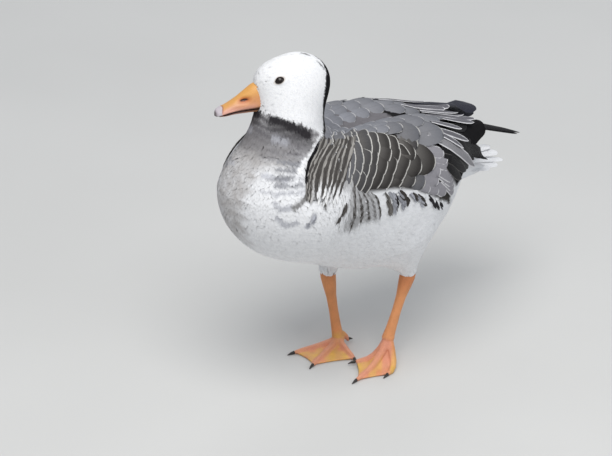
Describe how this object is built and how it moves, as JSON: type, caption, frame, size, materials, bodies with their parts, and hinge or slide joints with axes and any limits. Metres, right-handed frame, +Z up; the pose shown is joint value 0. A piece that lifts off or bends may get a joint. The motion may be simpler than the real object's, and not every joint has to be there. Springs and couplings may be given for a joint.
{
  "type": "domestic goose",
  "caption": "Life-size standing goose with folded wings, head turned a little to its right, feathered body, open webbed feet and a wedge-shaped bill.",
  "frame": {"origin": "centre of the bounding box's footprint, on the floor under the feet", "axes": "+Z up; the bird faces -Y and its left side is +X"},
  "size_m": [0.1756, 0.438, 0.3743],
  "materials": {
    "white_plumage": "soft white feathers",
    "grey_plumage": "grey-brown feathers with pale edges",
    "black_plumage": "black flight feathers",
    "bill": "orange horn, pinkish at the tip, satin",
    "leg_skin": "orange scaly skin",
    "claw": "dark horn",
    "eye": "wet, dark brown"
  },
  "bodies": {
    "root": {"head": "white_plumage", "neck": "grey_plumage", "bill_upper": "bill", "bill_lower": "bill", "trunk": "white_plumage", "tail": "white_plumage", "eye_left": "eye", "wing_left": "grey_plumage", "primaries_left": "black_plumage", "tertials_left": "grey_plumage", "thigh_left": "white_plumage", "shank_left": "leg_skin", "foot_left": "leg_skin", "claw_inner_left": "claw", "claw_middle_left": "claw", "claw_outer_left": "claw", "claw_hind_left": "claw", "eye_right": "eye", "wing_right": "grey_plumage", "primaries_right": "black_plumage", "tertials_right": "grey_plumage", "thigh_right": "white_plumage", "shank_right": "leg_skin", "foot_right": "leg_skin", "claw_inner_right": "claw", "claw_middle_right": "claw", "claw_outer_right": "claw", "claw_hind_right": "claw"}
  },
  "joints": []
}
